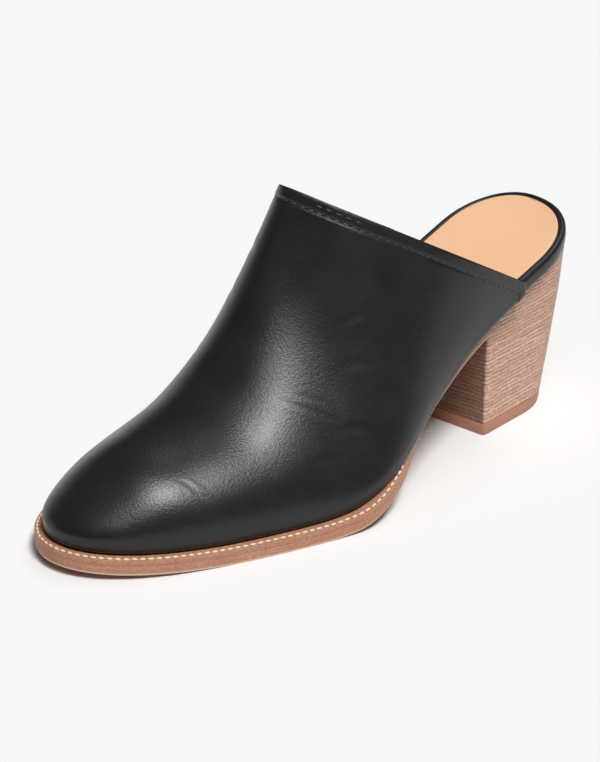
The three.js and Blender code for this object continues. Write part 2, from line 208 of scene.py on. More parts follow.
def runOf(line):
    # how far along a line of points each one is
    return np.concatenate([[0], np.cumsum(np.linalg.norm(np.diff(line, axis=0), axis=1))])


# where the heel's back and the shoe's long axis lie in the frame
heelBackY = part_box("footbed")[1].y
solePlan = outlineRing(stations(40, bedLength, 400), soleGrow)  # from the waist to the toe
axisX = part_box("outsole")[1].x - solePlan[0][:, 0].max() * mm


def toFrame(points):
    # design millimetres (x, at, z) to the frame's metres
    p = np.asarray(points, float)
    return np.stack([p[..., 0] * mm + axisX, heelBackY - p[..., 1] * mm, p[..., 2] * mm], -1)


# working by hand: selecting, shaping and finishing a piece
def select(obj):
    if bpy.context.mode != "OBJECT":
        bpy.ops.object.mode_set(mode="OBJECT")
    bpy.ops.object.select_all(action="DESELECT")
    obj.select_set(True)
    bpy.context.view_layer.objects.active = obj


def edit(obj):
    select(obj)
    bpy.ops.object.mode_set(mode="EDIT")
    bpy.ops.mesh.select_mode(type="VERT")
    bpy.ops.mesh.select_all(action="DESELECT")


def useModifier(obj, kind, **settings):
    select(obj)
    modifier = obj.modifiers.new(kind.title(), kind)
    for key, value in settings.items():
        setattr(modifier, key, value)
    bpy.ops.object.modifier_apply(modifier=modifier.name)


def gridPiece(name, points, merge=0.000005, cap=False, materials=(), secondTo=0):
    # a grid primitive pulled onto rows of points; doubles close its seams and poles. The faces
    # of the first rows, up to secondTo, take the second material
    rows, columns = points.shape[:2]
    bpy.ops.object.select_all(action="DESELECT")
    bpy.ops.mesh.primitive_grid_add(x_subdivisions=columns - 1, y_subdivisions=rows - 1, size=1)
    obj = bpy.context.object
    obj.name = name
    obj.data.name = name
    obj.data.vertices.foreach_set("co", np.ascontiguousarray(points, np.float32).ravel())
    obj.data.update()
    for material in materials:
        obj.data.materials.append(material)
    if secondTo:
        rowOf = np.arange(len(obj.data.polygons)) // (columns - 1)
        obj.data.polygons.foreach_set("material_index", (rowOf < secondTo).astype(np.int32))
    edit(obj)
    bpy.ops.mesh.select_all(action="SELECT")
    bpy.ops.mesh.remove_doubles(threshold=merge)
    if cap:
        bpy.ops.mesh.select_all(action="DESELECT")
        bpy.ops.mesh.select_non_manifold(extend=False)
        bpy.ops.mesh.fill_holes(sides=0)
    bpy.ops.mesh.select_all(action="SELECT")
    bpy.ops.mesh.normals_make_consistent(inside=False)
    bpy.ops.object.mode_set(mode="OBJECT")
    return obj


def finishPiece(obj, material, nodes, angle=None):
    # its material, its shading and what it stands for in the frame
    if material:
        obj.data.materials.clear()
        obj.data.materials.append(material)
    select(obj)
    if angle is None:
        bpy.ops.object.shade_smooth()
    else:
        bpy.ops.object.shade_smooth_by_angle(angle=math.radians(angle))
    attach(obj, "root")
    if nodes:
        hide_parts(*nodes)


# materials
def srgb(code):
    # a sRGB hex colour as linear red, green, blue and alpha
    parts = [int(code[i:i + 2], 16) / 255 for i in (1, 3, 5)]
    linear = [c / 12.92 if c <= 0.04045 else ((c + 0.055) / 1.055) ** 2.4 for c in parts]
    return (*linear, 1.0)


def newMaterial(name):
    material = bpy.data.materials.new(name)
    material.use_nodes = True
    material.node_tree.nodes.clear()
    return material


def addNode(material, kind, settings=None, links=None):
    tree = material.node_tree
    node = tree.nodes.new(kind)
    for key, value in (settings or {}).items():
        if isinstance(key, int) or key in node.inputs:
            node.inputs[key].default_value = value
        else:
            setattr(node, key, value)
    for key, source in (links or {}).items():
        tree.links.new(source, node.inputs[key])
    return node


def perMm(size):
    # texture scale, in metres of Object space, whose features are this many millimetres apart
    return 1 / (size * mm)


def noise(m, size, detail, place, **more):
    # cloudy noise whose features are "size" millimetres apart
    settings = {"Scale": perMm(size), "Detail": detail, **more}
    return addNode(m, "ShaderNodeTexNoise", settings, {"Vector": place}).outputs["Fac"]


def blend(m, share, first, second):
    # a colour between two, each a hex colour or another node's output
    settings, links = {"data_type": "RGBA"}, {0: share}
    for key, colour in ((6, first), (7, second)):
        if isinstance(colour, str):
            settings[key] = srgb(colour)
        else:
            links[key] = colour
    return addNode(m, "ShaderNodeMix", settings, links).outputs[2]


def ramp(m, value, low, high, first=0.0, last=1.0):
    # low to high of a value becomes first to last
    settings = {"From Min": low, "From Max": high, "To Min": first, "To Max": last}
    return addNode(m, "ShaderNodeMapRange", settings, {"Value": value}).outputs[0]


def maths(m, operation, *values):
    # each value is a number or another node's output
    settings, links = {"operation": operation}, {}
    for key, value in enumerate(values):
        (settings if isinstance(value, float) else links)[key] = value
    return addNode(m, "ShaderNodeMath", settings, links).outputs[0]


def bumps(m, height, strength, deep, over=None):
    # relief "deep" millimetres high, over another relief if there is one
    links = {"Height": height, "Normal": over} if over else {"Height": height}
    settings = {"Strength": strength, "Distance": deep * mm}
    return addNode(m, "ShaderNodeBump", settings, links).outputs[0]


def finishMaterial(m, settings, links):
    shader = addNode(m, "ShaderNodeBsdfPrincipled", settings, links)
    addNode(m, "ShaderNodeOutputMaterial", links={"Surface": shader.outputs[0]})
    return m


def blackCalf():
    # smooth black calf, drum dyed and lightly waxed: near-black, soft wide highlights, fine
    # pores and hair lines that break them up
    m = newMaterial("waxedBlackCalf")
    place = addNode(m, "ShaderNodeTexCoord").outputs["Object"]
    pores = addNode(m, "ShaderNodeTexVoronoi", {"Scale": perMm(0.8)}, {"Vector": place})
    cloud = noise(m, 14, 3.0, place)
    grain = noise(m, 0.95, 4.0, place, Roughness=0.7)
    stretch = addNode(m, "ShaderNodeMapping", {"Scale": (1.0, 0.35, 1.0),
                      "Rotation": (0.0, 0.0, 0.6)}, {"Vector": place})
    fibre = noise(m, 0.9, 3.0, stretch.outputs[0], Roughness=0.6, Distortion=0.4)
    rough = ramp(m, cloud, 0.3, 0.7, 0.26, 0.32)
    colour = blend(m, cloud, "#1c1b1b", "#282626")
    relief = bumps(m, pores.outputs["Distance"], 0.35, 0.05)
    relief = bumps(m, grain, 1.0, 0.09, relief)
    relief = bumps(m, fibre, 0.5, 0.06, relief)
    return finishMaterial(m, {"IOR": 1.4}, {"Base Color": colour, "Roughness": rough,
                                            "Normal": relief})


def tanLeather(name, light, dark, roughness):
    # vegetable-tanned sheepskin: pale, nearly matt, faintly mottled, with tiny pores
    m = newMaterial(name)
    place = addNode(m, "ShaderNodeTexCoord").outputs["Object"]
    pores = addNode(m, "ShaderNodeTexVoronoi", {"Scale": perMm(1.1)}, {"Vector": place})
    colour = blend(m, noise(m, 16, 4.0, place), dark, light)
    relief = bumps(m, noise(m, 0.8, 3.0, place), 0.3, 0.05)
    relief = bumps(m, pores.outputs["Distance"], 0.2, 0.05, relief)
    return finishMaterial(m, {"IOR": 1.45, "Roughness": roughness},
                          {"Base Color": colour, "Normal": relief})


def cutSoleLeather(name, light, dark, edge, corner=None):
    # the cut edge of oak-bark sole leather, sanded, stained and waxed: fibres run level, with
    # darker flecks where they are cut across
    m = newMaterial(name)
    place = addNode(m, "ShaderNodeTexCoord").outputs["Object"]
    flat = addNode(m, "ShaderNodeMapping", {"Scale": (1.0, 1.0, 3.5)}, {"Vector": place})
    fibre = noise(m, 1.1, 5.0, flat.outputs[0], Roughness=0.75)
    body = blend(m, ramp(m, fibre, 0.35, 0.62), dark, light)
    colour = blend(m, ramp(m, noise(m, 9, 2.0, place), 0.3, 0.7, 0.0, 0.5), body, edge)
    # the pale lower corner: raw leather and painted bounce light from the floor
    if corner:
        colour = rawCornerAndBounceLight(m, colour, corner)
    return finishMaterial(m, {"IOR": 1.45, "Roughness": 0.55},
                          {"Base Color": colour, "Normal": bumps(m, fibre, 0.35, 0.08)})


def rawCornerAndBounceLight(material, colour, tint):
    # the trimmed lower corner is painted pale, partly for raw leather and partly as painted light
    # from the floor's bounce: faces that lean down, but not the underside
    normal = addNode(material, "ShaderNodeNewGeometry").outputs["Normal"]
    split = addNode(material, "ShaderNodeSeparateXYZ", links={"Vector": normal})
    leans = ramp(material, split.outputs["Z"], -0.12, -0.3)
    side = ramp(material, split.outputs["Z"], -0.8, -0.6)
    return blend(material, maths(material, "MULTIPLY", leans, side), colour, tint)


def paintedBreastShade(material, colour, tint):
    # painted shade: the breast faces the toe and lies in shade under the arch, so it is painted
    # darker than the sides
    normal = addNode(material, "ShaderNodeNewGeometry").outputs["Normal"]
    split = addNode(material, "ShaderNodeSeparateXYZ", links={"Vector": normal})
    breast = ramp(material, split.outputs["Y"], -0.6, -0.9)
    return addNode(material, "ShaderNodeMix", {"data_type": "RGBA", "blend_type": "MULTIPLY",
                   7: srgb(tint)}, {0: breast, 6: colour}).outputs[2]


def stackedLeather(layer, base):
    # leather lifts glued in a stack and sanded flush: each a little lighter or darker, with a
    # dark broken glue line between, and a fuzzy speckle of cut fibre
    m = newMaterial("stackedLeather")
    place = addNode(m, "ShaderNodeTexCoord").outputs["Object"]
    split = addNode(m, "ShaderNodeSeparateXYZ", links={"Vector": place})
    wander = noise(m, 11, 2.0, place)  # the lines wander 0.8 mm up and down
    wander = maths(m, "MULTIPLY_ADD", wander, 1.6 * mm, -base * mm - 0.8 * mm)
    height = maths(m, "ADD", split.outputs["Z"], wander)
    count = maths(m, "DIVIDE", height, layer * mm)
    tone = addNode(m, "ShaderNodeTexWhiteNoise", {"noise_dimensions": "1D"},
                   {"W": maths(m, "FLOOR", count)}).outputs["Value"]
    fromMiddle = maths(m, "SUBTRACT", maths(m, "FRACT", count), 0.5)
    line = ramp(m, maths(m, "ABSOLUTE", fromMiddle), 0.12, 0.42)
    flat = addNode(m, "ShaderNodeMapping", {"Scale": (1.0, 1.0, 4.0)}, {"Vector": place})
    breaks = ramp(m, noise(m, 3.2, 4.0, flat.outputs[0], Roughness=0.7), 0.34, 0.56)
    drawn = maths(m, "MULTIPLY", line, breaks)
    fibre = noise(m, 0.9, 4.0, place, Roughness=0.75)
    lift = blend(m, tone, "#dab098", "#f2d2bd")
    fuzzy = blend(m, ramp(m, fibre, 0.36, 0.66), "#b98f79", lift)
    glued = blend(m, maths(m, "MULTIPLY", drawn, 0.6), fuzzy, "#7b5645")
    relief = bumps(m, maths(m, "SUBTRACT", fibre, drawn), 0.5, 0.12)
    # the breast of the heel is painted darker here, as painted shade
    return finishMaterial(m, {"IOR": 1.45, "Roughness": 0.62},
                          {"Base Color": paintedBreastShade(m, glued, "#b0a49c"), "Normal": relief})


def ribbedElastic():
    # woven elastic: grey yarn over rubber cores, in fine upright ribs with a dull sheen
    # (a wave node has 20 radians to a unit, so the ribs come out at about 0.9 mm)
    m = newMaterial("greyElastic")
    place = addNode(m, "ShaderNodeTexCoord").outputs["Object"]
    ribs = addNode(m, "ShaderNodeTexWave", {"wave_type": "BANDS", "bands_direction": "Y",
                   "Scale": perMm(0.9) / math.pi, "Distortion": 0.3},
                   {"Vector": place}).outputs["Fac"]
    relief = bumps(m, ribs, 0.8, 0.2)
    relief = bumps(m, noise(m, 0.4, 2.0, place), 0.4, 0.1, relief)
    return finishMaterial(m, {"Roughness": 0.6}, {"Base Color": blend(m, ribs, "#5d5e61", "#a9aaac"),
                                                  "Normal": relief})


def waxedThread(name, colours, roughness):
    # twisted thread, waxed: a fine slanting ply shows on each stitch
    m = newMaterial(name)
    place = addNode(m, "ShaderNodeTexCoord").outputs["Object"]
    ply = noise(m, 0.5, 2.0, place)
    return finishMaterial(m, {"Roughness": roughness}, {"Base Color": blend(m, ply, *colours),
                                                        "Normal": bumps(m, ply, 0.5, 0.08)})


def paleFloor():
    # matt seamless paper
    return finishMaterial(newMaterial("seamlessPaper"), {"Base Color": srgb("#ebebeb"),
                          "Roughness": 0.9, "Specular IOR Level": 0.1}, {})


# camera, floor and lights
studio = {
    "eye": (0.66305, -0.6236, 0.4725), "aim": (-0.0029, -0.0083, 0.0374), "lens": 127.5,
    "paper": 6.0, "backdrop": "#f7f7f7",
    "air": {"dark": 0.03, "bright": 0.6, "towards": (0.43, -0.13, 0.89)},
    "key": {"from": (0.45, -0.09, 0.885), "spread": 16, "power": 2.65},
    "low": {"from": (0.42, -0.36, 0.84), "spread": 14, "power": 0.4},
    "back": {"from": (-0.1, 0.5, 0.86), "spread": 30, "power": 0.55},
}


def addLight(name, spec):
    bpy.ops.object.light_add(type="SUN", location=spec["from"])
    lamp = bpy.context.object
    lamp.name = name
    lamp.data.angle = math.radians(spec["spread"])
    lamp.data.energy = spec["power"]
    lamp.rotation_euler = Vector(spec["from"]).to_track_quat("Z", "Y").to_euler()


def makeWorld():
    # soft even light, and a plain pale backdrop where the camera looks past the floor
    world = bpy.data.worlds.new("air")
    world.use_nodes = True
    world.node_tree.nodes.clear()
    way = addNode(world, "ShaderNodeTexCoord").outputs["Generated"]
    facing = addNode(world, "ShaderNodeVectorMath", {"operation": "DOT_PRODUCT",
                     1: studio["air"]["towards"]}, {0: way})
    power = addNode(world, "ShaderNodeMapRange", {"From Min": 0.8, "From Max": 1.0,
                    "To Min": studio["air"]["dark"], "To Max": studio["air"]["bright"]},
                    {"Value": facing.outputs["Value"]})
    lit = addNode(world, "ShaderNodeBackground", {"Color": (1, 1, 1, 1)},
                  {"Strength": power.outputs[0]})
    seen = addNode(world, "ShaderNodeBackground", {"Color": srgb(studio["backdrop"])})
    path = addNode(world, "ShaderNodeLightPath")
    both = addNode(world, "ShaderNodeMixShader", links={0: path.outputs["Is Camera Ray"],
                   1: lit.outputs[0], 2: seen.outputs[0]})
    addNode(world, "ShaderNodeOutputWorld", links={"Surface": both.outputs[0]})
    bpy.context.scene.world = world


def makeStudio():
    aim = Vector(studio["aim"])
    bpy.ops.object.camera_add(location=studio["eye"])
    camera = bpy.context.object
    camera.data.sensor_width = 36
    camera.data.lens = studio["lens"]
    camera.data.clip_start = 0.05
    camera.rotation_euler = (aim - camera.location).to_track_quat("-Z", "Y").to_euler()
    bpy.context.scene.camera = camera
    for name in ("key", "low", "back"):
        addLight(name, studio[name])
    makeWorld()
    bpy.context.scene.view_settings.view_transform = "Standard"
    bpy.ops.object.select_all(action="DESELECT")
    bpy.ops.mesh.primitive_plane_add(size=studio["paper"], location=(0, 0, 0))
    floor = bpy.context.object
    floor.name = "floor"
    floor.data.materials.append(paleFloor())
    print("studio ready")


# the vamp
vamp = {  # soft... are steps of the lattice, ...At, ...From and ...Ends places along the shoe
    "toplineAt": 50, "toplineHigh": 64.2, "toplineSlope": 0.585, "dipFrom": 62, "archHigh": 61.7,
    "cornerAt": 49, "cornerTurn": 4.8, "goreFront": 78, "goreRear": 44.5, "goreRise": 0.4,
    "rear": 36, "stations": 640, "crownColumns": 96, "feather": (0, 0.25, 0.7, 1.3, 2.0, 2.8, 3.6),
    "featherRound": 2.8, "featherDraw": 1.5, "softAlong": 26, "softInstep": 8, "softToe": 18,
    "instepEnds": 150, "toeStarts": 210, "softFrom": 20, "softFull": 55,
    "fineRows": 20, "fineLength": 8.4, "bodyRows": 150, "edgeSteps": 6,
    "turnedEdge": 3.4, "turnedHigh": 0.2, "turnedRound": 0.9, "seam": 4.7, "seamDeep": 0.3,
    "seamWide": 0.6, "lapSeam": 2.3, "lapFrom": 7.6, "lapTo": 22, "lapBehind": 112,
    "archRow": 8, "turnedRows": 5, "swellMost": 0.06,
}

# in widths of the crease: how far it is felt, and how far out its side ridges lie
creaseForm = {"points": 16, "reach": 5, "fade": 0.8, "ridge": 0.45, "ridgeOut": 2}

creases = [  # x, at and z of their ends, where flexing and lasting have marked the leather
    {"from": (26.8, 163.6, 47.4), "to": (41.5, 146, 37.5), "wide": 0.7, "deep": 0.17},
    {"from": (29, 158, 48.6), "to": (36.5, 148, 44.5), "wide": 0.8, "deep": 0.06},
    {"from": (24.4, 208.6, 30.6), "to": (34.2, 203.6, 23), "wide": 0.55, "deep": 0.24},
    {"from": (26.7, 204.2, 30.2), "to": (34.8, 199.6, 24.3), "wide": 0.6, "deep": 0.07},
    {"from": (27.9, 135.4, 68.2), "to": (31.6, 124.5, 73), "wide": 1.3, "deep": 0.14},
    {"from": (43.2, 161.5, 29.4), "to": (47.8, 148, 26.5), "wide": 1.4, "deep": 0.12},
    {"from": (42, 150, 37), "to": (46.2, 134, 33.5), "wide": 1.6, "deep": 0.12},
    {"from": (33, 139.5, 56), "to": (38.5, 127, 55), "wide": 1.8, "deep": 0.13},
    {"from": (-12, 152, 71), "to": (-22, 139, 71), "wide": 1.5, "deep": 0.15},
    {"from": (-9, 143, 88), "to": (-19, 131, 84), "wide": 1.6, "deep": 0.14},
    {"from": (-20, 163, 50), "to": (-31, 152, 42), "wide": 1.4, "deep": 0.16},
]


def vampLattice():
    # the last's whole face as rows of points from heel to toe; columns go over the foot
    places = stations(vamp["rear"], bedLength, vamp["stations"])
    fullOut = shoe["wall"] + shoe["gap"]
    outer, inner = outlineRing(places, level(fullOut))
    at = (outer[:, 1] + inner[:, 1]) / 2
    tip = bedLength + fullOut
    crown = roundEnd(tip - at, shoe["toeCapLength"], 2)
    base = lowerEdge(at) + shoe["lastedWall"]
    high = (curve(sections, "at", "ridge")(at) - base) * crown
    middle = curve(sections, "at", "across")(at) * roundEnd(tip - at, shoe["ridgeToeLength"], 2)
    feather = vamp["featherRound"]

    def side(edge, full, whichSide):
        reach = np.maximum(np.abs(edge[:, 0] - middle), 1)
        swell = np.minimum(shoe["sideSwell"] / reach, vamp["swellMost"])
        rows = []
        for up in vamp["feather"]:
            drawn = vamp["featherDraw"] * (1 - math.sqrt(1 - (1 - min(up / feather, 1)) ** 2))
            ring = outlineRing(places, level(fullOut - drawn))[whichSide]
            rows.append(np.stack([ring[:, 0], ring[:, 1], base - shoe["lastedWall"] + up], 1))
        for t in np.arange(vamp["crownColumns"]) / vamp["crownColumns"]:
            b = [(1 - t) ** 3, 3 * t * (1 - t) ** 2, 3 * t * t * (1 - t), t ** 3]
            across = b[0] + (1 + swell) * b[1] + full * b[2]
            up = full * b[1] + b[2] + b[3]
            rows.append(np.stack([middle + (edge[:, 0] - middle) * across,
                                  edge[:, 1] + (at - edge[:, 1]) * t, base + high * up], 1))
        return rows

    outerRows = side(outer, curve(sections, "at", "outerFull")(at), 0)
    innerRows = side(inner, curve(sections, "at", "innerFull")(at), 1)
    ridge = np.stack([middle, at, base + high], 1)
    lattice = np.stack([*outerRows, ridge, *reversed(innerRows)], 1)
    lattice = softAlong(lattice, vamp["softAlong"])
    toe = smoothstep(at, vamp["instepEnds"], vamp["toeStarts"])[:, None, None]
    instep = softAcross(lattice, vamp["softInstep"])
    return instep * (1 - toe) + softAcross(lattice, vamp["softToe"]) * toe


def bellWeights(reach):
    # shares of the points up to "reach" steps away on each side, falling off as a bell that is
    # 2.5 of its own widths long each way
    weight = np.exp(-0.5 * (np.arange(-reach, reach + 1) / (reach / 2.5)) ** 2)
    return weight / weight.sum()


def softAlong(lattice, reach):
    # takes the small breaks of curvature out along the shoe; past the toe each column goes on
    # as the one on the other side
    rear = 2 * lattice[0] - lattice[reach:0:-1]
    beyond = lattice[-2:-reach - 2:-1, ::-1]
    longer = np.concatenate([rear, lattice, beyond])
    return sum(w * longer[k:k + len(lattice)] for k, w in enumerate(bellWeights(reach)))


def softAcross(lattice, reach):
    # the same across the crown, so that its two sides meet without a line
    count = lattice.shape[1]
    padded = np.pad(lattice, ((0, 0), (reach, reach), (0, 0)), mode="edge")
    soft = sum(w * padded[:, k:k + count] for k, w in enumerate(bellWeights(reach)))
    column = np.arange(count)
    inwards = np.minimum(column, count - 1 - column)
    middle = smoothstep(inwards, vamp["softFrom"], vamp["softFull"])[None, :, None]
    return lattice * (1 - middle) + soft * middle


def archLine(at):
    # the vamp's rear edge on the arch side runs from the corner down to the lower edge
    foot = lowerEdge(vamp["goreFront"])
    run = vamp["goreFront"] - vamp["toplineAt"]
    return vamp["archHigh"] + (foot - vamp["archHigh"]) * (at - vamp["toplineAt"]) / run


def cutAway(points):
    # above 0 where the vamp has been cut away: over the topline, which dips at the arch side,
    # behind the corners, and behind the arch side's slanting edge
    x, at, z = points[..., 0], points[..., 1], points[..., 2]
    lean = math.hypot(1, vamp["toplineSlope"])
    back = at - vamp["toplineAt"]
    above = (z - vamp["toplineHigh"] - vamp["toplineSlope"] * back) / lean
    fall = vamp["dipFrom"] - vamp["toplineAt"]
    dipSlope = (vamp["toplineHigh"] + vamp["toplineSlope"] * fall - vamp["archHigh"]) / fall
    dip = (z - vamp["archHigh"] - dipSlope * back) / math.hypot(1, dipSlope)
    above = np.where(x < 0, np.maximum(above, dip), above)
    turn = math.radians(vamp["cornerTurn"])
    behind = -math.sin(turn) * x + math.cos(turn) * (vamp["cornerAt"] - at)
    arch = np.where((x < 0) & (at < vamp["goreFront"]), archLine(at) - z, -farAway)
    return np.maximum(np.maximum(above, behind), arch)


def vampColumns(lattice):
    # each column from the vamp's rear edge to the tip of the toe, at set distances
    fine = np.linspace(0, 1, vamp["fineRows"]) * vamp["fineLength"]
    share = np.linspace(0, 1, vamp["bodyRows"] + 1)[1:]
    out = cutAway(lattice)
    grid = []
    for j in range(lattice.shape[1]):
        kept = np.nonzero(out[:, j] > 0)[0].max()
        a, b = out[kept, j], out[kept + 1, j]
        start = lattice[kept, j] + (lattice[kept + 1, j] - lattice[kept, j]) * a / (a - b)
        line = np.vstack([start, lattice[kept + 1:, j]])
        run = runOf(line)
        stops = np.concatenate([fine, fine[-1] + (run[-1] - fine[-1]) * share])
        grid.append(np.stack([np.interp(stops, run, line[:, k]) for k in range(3)], 1))
    return np.stack(grid, 1)


def gridNormals(grid):
    # directions out of the face, at each point
    along = np.gradient(grid, axis=0)
    over = np.gradient(grid, axis=1)
    normal = np.cross(along, over)
    normal[-1] = (0, 1, 0)  # the tip of the toe
    length = np.linalg.norm(normal, axis=2, keepdims=True)
    return normal / np.maximum(length, 1e-9)  # never by nothing


def nearest(line, points, closer=0.2):
    # distance of each point from a line of points, and how far along the line it is
    dense, run = resample(line, closer)
    tree = kdtree.KDTree(len(dense))
    for i, p in enumerate(dense):
        tree.insert(p, i)
    tree.balance()
    found = [tree.find(p) for p in points.reshape(-1, 3)]
    away = np.array([f[2] for f in found]).reshape(points.shape[:-1])
    where = np.array([run[f[1]] for f in found]).reshape(points.shape[:-1])
    return away, where


def resample(line, spacing):
    # evenly spaced points on a line, and how far along it each one is
    run = runOf(line)
    count = max(2, int(round(run[-1] / spacing)) + 1)
    stops = np.linspace(0, run[-1], count)
    return np.stack([np.interp(stops, run, line[:, k]) for k in range(3)], 1), stops


def vampFace():
    # the black face with its turned edge, sunk seam and creases
    lattice = vampLattice()
    grid = vampColumns(lattice)
    normal = gridNormals(grid)
    beside = vamp["fineRows"] + 8  # rows that may lie near the cut edge
    away = np.full(grid.shape[:2], farAway)
    away[:beside] = nearest(grid[0], grid[:beside])[0]
    turned = vamp["turnedHigh"] * smoothstep(away, 0, vamp["turnedRound"])
    turned *= 1 - smoothstep(away, vamp["turnedEdge"], vamp["seam"] + vamp["seamWide"] / 2)
    dent = vamp["seamDeep"] * np.exp(-((away - vamp["seam"]) / vamp["seamWide"]) ** 2)
    lift = turned - dent
    for crease in creases:
        lift = lift + creaseDepth(crease, lattice, grid)
    return lattice, grid + normal * lift[..., None], normal, away


def creaseDepth(crease, lattice, grid):
    # one soft trough with a lower ridge on each side, dying away at its two ends
    near = lattice[::2, ::2].reshape(-1, 3)
    wide, ridge = crease["wide"], creaseForm["ridge"]
    line = []
    for share in np.linspace(0, 1, creaseForm["points"]):
        place = np.array(crease["from"]) * (1 - share) + np.array(crease["to"]) * share
        line.append(near[np.argmin(((near - place) ** 2).sum(1))])
    line = np.array(line)
    line[1:-1] = (line[:-2] + line[1:-1] + line[2:]) / 3
    reach = np.linalg.norm(line[-1] - line[0]) / 2 + creaseForm["reach"] * wide
    beside = np.linalg.norm(grid - (line[0] + line[-1]) / 2, axis=-1) < reach
    away = np.full(grid.shape[:2], farAway)
    where = np.zeros(grid.shape[:2])
    away[beside], where[beside] = nearest(line, grid[beside])
    fade = np.sin(np.pi * np.clip(where / runOf(line)[-1], 0, 1)) ** creaseForm["fade"]
    out = (away - creaseForm["ridgeOut"] * wide) / wide
    trough = np.exp(-(away / wide) ** 2) - ridge * np.exp(-out ** 2)
    return -crease["deep"] * trough * fade


def makeVamp(leather, lining):
    lattice, face, normal, away = vampFace()
    wall = shoe["wall"]
    back = face - normal * wall
    back[:, 0, 2] = face[:, 0, 2]
    back[:, -1, 2] = face[:, -1, 2]
    outwards = face[0] - face[2]
    outwards /= np.linalg.norm(outwards, axis=1)[:, None]
    turns = np.linspace(math.pi, 0, vamp["edgeSteps"] + 1)[1:-1]
    rim = [face[0] - normal[0] * wall / 2 + (normal[0] * math.cos(a) + outwards * math.sin(a))
           * wall / 2 - outwards * wall / 2 for a in turns]
    rows = np.concatenate([back[::-1], np.array(rim), face])
    obj = gridPiece("vamp", toFrame(rows), materials=(leather, lining),
                    secondTo=len(back) - 1 - vamp["turnedRows"])
    closeLowerEdge(obj, toFrame(rows))
    finishPiece(obj, None, ["upper"])
    print("vamp", len(obj.data.polygons), "faces")
    return lattice, face, normal, away


def closeLowerEdge(obj, rows):
    # joins the face to the lining side along the two lower edges, row by row
    mesh = bmesh.new()
    mesh.from_mesh(obj.data)
    mesh.verts.ensure_lookup_table()
    tree = kdtree.KDTree(len(mesh.verts))
    for v in mesh.verts:
        tree.insert(v.co, v.index)
    tree.balance()
    last = len(rows) - 1
    for j in (0, rows.shape[1] - 1):
        line = [mesh.verts[tree.find(p)[1]] for p in rows[:, j]]
        for r in range(len(rows) // 2):
            corners = [line[r], line[r + 1], line[last - r - 1], line[last - r]]
            kept = list(dict.fromkeys(corners))
            if len(kept) > 2 and not mesh.faces.get(kept):
                mesh.faces.new(kept)
    bmesh.ops.recalc_face_normals(mesh, faces=mesh.faces)
    mesh.to_mesh(obj.data)
    mesh.free()


def rowAt(face, normal, away, distance, columns=None):
    # the line on the face that keeps a distance from the vamp's rear edge
    points, ups = [], []
    for j in range(face.shape[1]):
        if columns is not None and not columns(face[0, j]):
            continue
        d = away[:, j]
        i = int(np.argmax(d >= distance))
        if i == 0:
            continue
        t = (distance - d[i - 1]) / (d[i] - d[i - 1])
        points.append(face[i - 1, j] + (face[i, j] - face[i - 1, j]) * t)
        ups.append(normal[i, j])
    return np.array(points), np.array(ups)


# stitches
stitching = {  # lift and twist are the play of a single stitch
    "topline": {"pitch": 3.4, "long": 2.7, "thick": 0.62, "sink": 0.02, "lift": 0.03, "twist": 0.06},
    "welt": {"pitch": 2.9, "long": 2.35, "thick": 1.05, "sink": 0.12, "lift": 0.03, "twist": 0.06,
             "in": 1.05, "from": 118, "stations": 300, "low": 0.1},
}


def oneStitch(spec):
    # a short length of thread whose ends dive into the leather
    bpy.ops.object.select_all(action="DESELECT")
    bpy.ops.mesh.primitive_uv_sphere_add(segments=6, ring_count=6, radius=0.5)  # 1 across
    obj = bpy.context.object
    edit(obj)
    bpy.ops.mesh.select_all(action="SELECT")
    bpy.ops.transform.rotate(value=math.pi / 2, orient_axis="Y", center_override=(0, 0, 0))
    bpy.ops.transform.resize(value=(spec["long"] * mm, spec["thick"] * mm,
                                    spec["thick"] * mm))
    bpy.ops.object.mode_set(mode="OBJECT")
    return obj


def sewRow(template, spec, line, ups):
    # copies of the stitch along a line; each has its own mesh and a little play of its own
    run = runOf(line)
    first, last = spec["pitch"] / 2, run[-1] - spec["pitch"] / 2
    count = int((last - first) / spec["pitch"])
    copies = []
    for stop in np.linspace(first, last, count + 1):
        at = Vector([np.interp(stop, run, line[:, k]) for k in range(3)])
        ahead = Vector([np.interp(stop + 1, run, line[:, k]) for k in range(3)])
        behind = Vector([np.interp(stop - 1, run, line[:, k]) for k in range(3)])
        up = Vector([np.interp(stop, run, ups[:, k]) for k in range(3)]).normalized()
        at += up * (spec["sink"] + random.uniform(-spec["lift"], spec["lift"]))
        place = Vector(toFrame(np.array(at)))
        forward = Vector(toFrame(np.array(ahead)) - toFrame(np.array(behind))).normalized()
        upward = Vector((up.x, -up.y, up.z))
        aside = upward.cross(forward).normalized()
        upward = forward.cross(aside)
        turn = Matrix((forward, aside, upward)).transposed().to_4x4()
        turn = turn @ Matrix.Rotation(random.uniform(-spec["twist"], spec["twist"]), 4, "Z")
        copy = template.copy()
        copy.data = template.data.copy()
        bpy.context.collection.objects.link(copy)
        copy.data.transform(Matrix.Translation(place) @ turn)
        copies.append(copy)
    return copies


def joinCopies(copies, template, name, material):
    # all the stitches of a piece as one object
    bpy.ops.object.select_all(action="DESELECT")
    for copy in copies:
        copy.select_set(True)
    bpy.context.view_layer.objects.active = copies[0]
    bpy.ops.object.join()
    obj = bpy.context.object
    obj.name = name
    obj.data.name = name
    bpy.data.objects.remove(template)
    finishPiece(obj, material, None)
    print(name, len(copies), "stitches")


def onLap(point):
    # where the two ends of the turned edge lie over each other, near the crest
    return vamp["lapFrom"] < point[0] < vamp["lapTo"] and point[1] > vamp["lapBehind"]


def onArchEdge(point):
    return point[0] < 0 and point[2] < vamp["archHigh"] + vamp["archRow"]


